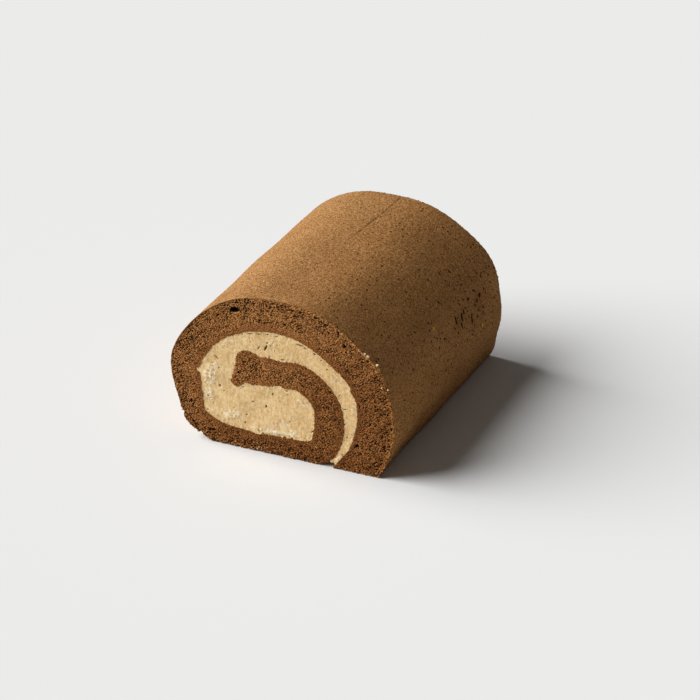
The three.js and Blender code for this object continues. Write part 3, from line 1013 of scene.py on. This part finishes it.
# Bubbles and slits in the front end: x, z, long, wide, tilt and how deep.
FRONT_PITS = [
    (-6.3, 45.8, 3, 0.8, 65, 1.3), (-5.6, 48.1, 0.9, 0.6, 20, 0.9), (-9.2, 45.3, 1.7, 0.5, 50, 0.8),
    (-12.5, 47, 1.7, 0.35, -35, 0.5), (-27.3, 37.4, 2.9, 0.5, -42, 0.8),
    (-29.2, 34.6, 0.7, 0.6, 0, 0.8), (-26.3, 33, 0.8, 0.4, 0, 0.6), (-26, 25.5, 1.4, 0.65, 92, 1),
    (-24.3, 23.4, 0.7, 0.5, 0, 0.7), (-12, 21.4, 0.75, 0.7, 0, 0.9), (-3.6, 26.5, 1.3, 0.7, 80, 1),
    (-6.5, 20.5, 1.5, 0.65, 86, 1), (-14.8, 15, 0.7, 0.6, 0, 0.7),
    (-15.5, 11.5, 1.2, 0.65, 90, 0.8), (3.6, 16.2, 0.9, 0.5, 90, 0.7),
    (-9.6, 9.3, 2, 0.45, -50, 0.7), (8, 50, 3.2, 0.6, -10, 1.1), (14.2, 47.6, 1, 0.8, 0, 1),
    (10.3, 49.2, 1.5, 0.5, -25, 0.8), (26.7, 26.6, 1.3, 0.5, 20, 0.8),
    (24.3, 32, 1.6, 0.45, 50, 0.6), (27.5, 14.7, 0.9, 0.5, 0, 0.8), (-12.8, 50.5, 3, 0.45, 12, 0.8),
    (-8.9, 51.2, 2.6, 0.4, 8, 0.8), (-5.4, 51.7, 1.8, 0.4, 2, 0.7),
    (-1.8, 51.5, 2.4, 0.35, -4, 0.6), (-4.3, 46.8, 2.2, 0.3, 82, 0.45),
    (-3.1, 48.6, 2.2, 0.3, 76, 0.45), (-2.4, 45.4, 1.6, 0.3, 86, 0.4),
    (-1.4, 47.8, 1.2, 0.3, 84, 0.35), (23.1, 38, 1.5, 0.35, 92, 0.4),
    (22.2, 38.9, 1.2, 0.35, 86, 0.35), (-28.9, 17, 1, 0.4, 20, 0.5), (-20, 17.2, 0.6, 0.5, 0, 0.5),
    (11.9, 26.7, 0.8, 0.5, 0, 0.6), (9.3, 25.4, 0.7, 0.4, 0, 0.5), (-16.2, 49.6, 0.8, 0.5, 0, 0.7),
    (0.9, 42.3, 2.6, 0.5, 6, 0.8), (-4.6, 42.4, 1.2, 0.4, 0, 0.6), (2.6, 27.6, 0.6, 0.5, 0, 0.6),
    (-0.5, 24, 0.5, 0.45, 0, 0.5), (12.6, 13.6, 0.8, 0.5, 60, 0.5), (16.8, 45.4, 0.7, 0.5, 0, 0.6),
    (19.2, 42.1, 0.7, 0.5, 0, 0.6),
]
BACK_PITS = [
    (8, 46.5, 2.6, 0.8, -20, 1.2), (-10, 48.5, 1.2, 0.9, 0, 0.9), (-27, 33, 1.4, 0.9, 70, 1),
    (-17, 20, 1.3, 0.9, 80, 1), (0, 22, 1.1, 0.9, 0, 0.9), (6, 14, 1.4, 0.7, 30, 0.8),
    (-9, 13, 0.9, 0.8, 0, 0.8), (24.5, 33, 1.4, 0.8, 120, 0.9), (-24, 44, 2.2, 0.6, 40, 0.8),
    (-2, 49.5, 3, 0.4, 4, 0.7), (-14, 25, 1.2, 0.6, 88, 0.8), (28, 20, 0.9, 0.6, 0, 0.7),
]
# Paler frothy places, as x, z, long, wide, tilt and how pale.
FRONT_SMEARS = [
    (-31, 20.5, 7, 6, 85, 1), (-30.2, 29, 12, 6.6, 78, 0.95), (-21.5, 13.8, 11, 5, 10, 0.85),
    (0, 14.4, 9.5, 4, 0, 0.7), (5, 11.5, 6, 2.4, 0, 0.7), (-2, 10.1, 28, 2.6, 1.7, 0.9),
    (-28, 33.5, 8, 5, 60, 0.45), (-22, 45, 8, 3, 40, 0.35), (9, 25.6, 8, 3, -30, 0.4),
    (-29.3, 13.6, 6, 2, -32, 0.7), (-4, 47.5, 8, 5, 70, 0.35), (30, 27.5, 7, 2, 95, 0.4),
    (28.8, 15, 8, 2, 76, 0.4), (23, 38.5, 10, 3, -55, 0.3), (23.5, 4, 4, 2.4, 60, 0.6),
]
BACK_SMEARS = [
    (-29, 24, 9, 5, 80, 0.8), (-10, 12, 14, 3, -6, 0.6), (14, 43, 8, 3, -30, 0.5),
    (-18, 45, 9, 4, 30, 0.4), (3, 26, 8, 3, 0, 0.4),
]

foot_first = filling_first + int(np.argmax(filling_marks <= FOOT_ON_FILLING))
foot_last = int(np.argmax(skin_marks > FOOT_ON_SKIN))


def cream_loop(depth, pushes=()):
    """The cream's outline: the stretch of the sheet's own that it touches, a little inside it."""
    loop = sheet_loop(depth, UNDER_SKIN, pushes)
    loop = loop + beside(loop) * CREAM_INTO_SPONGE
    touched = np.vstack([loop[foot_first:], loop[:foot_last]])
    return np.vstack([touched, np.linspace(touched[-1], touched[0], FOOT_POINTS)[1:-1]])


def cream_end(depth, pitch, pits, smears, pushes, seed):
    """One cut end of the cream: its edge's count, its points, triangles and notes."""
    outline = cream_loop(depth, pushes)
    section, triangles = cut_face(outline, pitch, seed, brims(pits, 0.85))
    sink = press(section, pits, 3.0)
    notes = {
        "pale": press(section, smears, 1.5),
        # how deep the bubbles and slits go, which the finish paints dark as painted shade
        "hole": np.clip(sink / 0.7, 0, 1),
        "inwards": np.full(len(section), -float(depth)),
        "rough": np.clip(1 - (reach(section, outline) - CREAM_INTO_SPONGE) / 2.2, 0.12, 1),
    }
    moved = in_roll(section, depth, depth * (CREAM_BACK_SET + sink - swell(section, depth)))
    return len(outline), moved, triangles, notes


cream_filling = join_ends(
    "cream_filling",
    cream_end(-1, CREAM_FRONT_PITCH, FRONT_PITS, FRONT_SMEARS, FRONT_PUSHES, 21),
    cream_end(1, CREAM_BACK_PITCH, BACK_PITS, BACK_SMEARS, (), 22),
    [in_roll(cream_loop(depth), depth) for depth in (-0.96, 0.96)],
)


def bubble_field(tree, at, pitch):
    """Tiny bubbles, most of them near the cream's edges and in its froth: 0 outside, 1 inside."""
    cells, luck, other = tree.spots(at, pitch, flat=False)
    busy = tree.noted("rough") * 0.45 + tree.noted("pale") * 0.2 + other
    radius = 0.0001 + (0.12 + 0.20 * luck) * tree.step(busy, 0.95, 1.15)
    return tree.step(cells, radius * 1.25, radius * 0.6)


BUBBLE_PITCH = 0.0017
BUBBLE_DEPTH = 0.0004
DRAG = 0.0004

cream_finish, tree = new_finish(
    "coffee_cream", 0.5, Specular_IOR_Level=0.3, Subsurface_Weight=0.15,
    Subsurface_Radius=(1.0, 0.6, 0.3), Subsurface_Scale=0.0009)
place = tree.place()
pale, rough = tree.noted("pale"), tree.noted("rough")
froth = tree.noise(place, 0.0014, 4, 0.65)
drag = tree.noise(tree.vectors("MULTIPLY", place, (1.0, 1.0, 0.12)), 0.0007, 2)
wash = tree.step(tree.noise(place, 0.006, 3), 0.35, 0.68)
base = tree.paint(
    tree.blend(wash, (0.72, 0.475, 0.205), (0.83, 0.585, 0.28)),
    # painted shade: the cream darker and yellower towards its right
    (tree.step(tree.axes(place), -0.010, 0.02) * 0.45, (0.70, 0.44, 0.175)),
    (pale * 0.35, (0.92, 0.77, 0.53)),
    # partly the froth's own paler colour, partly painted highlight on the peaks of its relief
    (tree.step(froth, 0.48, 0.56) * (0.18 + 0.82 * pale), (0.96, 0.85, 0.62)),
    # painted shade in the froth's hollows, more near the edges
    (tree.step(froth, 0.48, 0.40) * (0.22 + 0.35 * rough + 0.4 * pale), (0.48, 0.28, 0.10)),
    (tree.step(drag, 0.56, 0.66) * 0.3, (0.54, 0.32, 0.115)),
    # painted shade: the tiny bubbles darker
    (bubble_field(tree, place, BUBBLE_PITCH) * 0.8, (0.22, 0.095, 0.028)),
    # painted shade: the bubbles and slits nearly black
    (tree.step(tree.noted("hole"), 0.15, 0.75) * 0.9, (0.11, 0.040, 0.009)),
)
grit = tree.noise(place, 0.0006, 2)
tree.feed(base, froth * (0.45 + 1.5 * pale + 0.5 * rough) + grit * 0.3 - drag * 0.25, 0.0005, 0.8)

tree, ask = new_form("cream_cut", "Bubble Pitch", "Bubble Depth", "Drag")
place = tree.place()
wave = tree.noise(place, 0.0055, 3.0) - 0.5
tooth = tree.noise(place, 0.0012, 3.0) - 0.5
bubbles = bubble_field(tree, place, ask["Bubble Pitch"])
sink = tree.noted("inwards") * (
    ask["Bubble Depth"] * bubbles + ask["Drag"] * wave
    + ask["Drag"] * tooth * (0.5 + 1.6 * tree.noted("pale") + tree.noted("rough")))
close_form(tree, ask, tree.add("ShaderNodeCombineXYZ", {"Y": sink}))
form_piece(cream_filling, tree, {
    "Bubble Pitch": BUBBLE_PITCH, "Bubble Depth": BUBBLE_DEPTH, "Drag": DRAG,
    "Finish": cream_finish})

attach(cream_filling, "root")
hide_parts("cream")


# ---- Loose crumbs ------------------------------------------------------------------------------
# The knife leaves crumbs of sponge along the edges of its cuts, most of them low down and on the
# right.  Each is a small squashed lump that has stuck where it fell.

CRUMBS = 760
CRUMB_FACES = 1          # how often their round blank is divided
CRUMB_SIZE = 0.0007
LUMPINESS = 0.0004
HALF_SHARES = (0.66, 0.42, 0.66)     # a piece's half extents, as shares of its size
ON_FACE = 0.0535         # points further out than this are on a cut face

bits_form, ask = new_form("cut_bits", "Size", "Lumpiness")
tree = bits_form
blank = tree.add("GeometryNodeMeshIcoSphere", {"Radius": 0.5, "Subdivisions": CRUMB_FACES})
turn, squash = (tree.add("FunctionNodeRandomValue", {"Min": low, "Max": high, "Seed": seed},
                         data_type="FLOAT_VECTOR")
                for low, high, seed in (((-0.3, 0.0, -0.3), (0.3, 6.28, 0.3), 5),
                                        ((0.7, 0.45, 0.6), (1.3, 0.65, 1.1), 6)))
scale = tree.vectors("SCALE", squash, Scale=ask["Size"] * tree.noted("size"))
placed = tree.add("GeometryNodeInstanceOnPoints", {
    "Points": ask["Geometry"], "Instance": blank, "Rotation": turn, "Scale": scale})
real = tree.add("GeometryNodeRealizeInstances", {"Geometry": placed})
lumps = tree.add("ShaderNodeTexNoise", {
    "Vector": tree.place(), "Scale": 1 / (ask["Size"] * 0.7)}, "Color")
close_form(tree, ask, tree.vectors("SCALE", tree.vectors(
    "SUBTRACT", lumps, (0.5, 0.5, 0.5)), Scale=ask["Lumpiness"]), real)


def scatter(name, places, sizes, finish, size):
    """A piece of many small lumps at these places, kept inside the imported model's box."""
    half = np.outer(size * sizes, HALF_SHARES) + 0.3 * LUMPINESS
    places = np.clip(places, np.array(cad_box[0]) + half, np.array(cad_box[1]) - half)
    piece = new_mesh(name, places, [], {"size": sizes})
    form_piece(piece, bits_form, {"Size": size, "Lumpiness": LUMPINESS, "Finish": finish})
    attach(piece, "root")
    return piece


# They are picked among the points of the cut faces: most at their edges, low down and right.
dice = np.random.default_rng(41)
places = read(sponge_crumb.data.vertices, "co", np.float32, 3)
crust = read(sponge_crumb.data.attributes["crust"].data, "value", np.float32)[:, 0]
x, _, z = places.T / MM
low_right = ramp(x, 30, 38) * ramp(z, 46, 36)
low = ramp(z, 3.0, 0.5) + np.exp(-((x + 40) ** 2 + (z - 7) ** 2) / 30)
chance = 0.02 + crust ** 2 * (0.12 + 1.4 * low_right) + 0.6 * low
chance *= np.abs(places[:, 1]) > ON_FACE
picked = dice.choice(len(places), CRUMBS, replace=False, p=chance / chance.sum())
sizes = 0.45 + dice.exponential(0.28, CRUMBS).clip(0, 1.2)

bits_finish, tree = new_finish("crumb_bits", 0.85, Specular_IOR_Level=0.2)
place = tree.place()
tone = tree.step(tree.noise(place, 0.0008, 2), 0.36, 0.64)
tree.feed(tree.blend(tone, (0.24, 0.090, 0.022), (0.66, 0.30, 0.095)),
          tree.noise(place, 0.0003), 0.0001)
loose_crumbs = scatter("loose_crumbs", places[picked], sizes, bits_finish, CRUMB_SIZE)
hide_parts("sponge")


# ---- Cream flecks ------------------------------------------------------------------------------
# Flecks of cream and pale crumbs that the knife has dragged out on to the cut faces.  They are
# lumps like the loose crumbs, but larger and soft.

FLECK_SIZE = 0.0008
# Each as x, y, z and size.
FLECKS = np.array([
    (-10.2, -55.2, 1.3, 1.7), (-9.5, -55.2, 2, 1.7), (-8.2, -55.2, 1.9, 1.4),
    (-6.9, -55.2, 2.2, 1.4), (-5.6, -55.2, 2.5, 1), (-12.6, -55.1, 1.2, 0.6),
    (34.8, -55.2, 51.9, 1.6), (36.2, -55.2, 51.1, 1.8), (40, -55.2, 48.3, 1.7),
    (41.9, -55.2, 39.2, 1.5), (44.4, -55.2, 38.9, 1.7), (-17.4, -55.2, 61.9, 0.6),
    (14.9, -55.1, 7.6, 0.6), (44.8, -55, 12.8, 0.6), (-8, 55.1, 1.6, 1), (33, 55, 50, 0.8),
    (22, 55, 1.8, 1),
])
flecks_finish, tree = new_finish(
    "cream_flecks", 0.55, Specular_IOR_Level=0.3, Subsurface_Weight=0.2,
    Subsurface_Radius=(1.0, 0.6, 0.3), Subsurface_Scale=0.0006)
tone = tree.noise(tree.place(), 0.0006, 2)
tree.feed(tree.blend(tone, (0.70, 0.44, 0.19), (0.92, 0.72, 0.44)), tone, 0.0001)
cream_flecks = scatter("cream_flecks", FLECKS[:, :3] * MM, FLECKS[:, 3], flecks_finish, FLECK_SIZE)
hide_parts("cream")


for name, finish in (("sponge", crumb_finish), ("cream", cream_finish)):
    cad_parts[name].data.materials.clear()
    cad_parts[name].data.materials.append(finish)
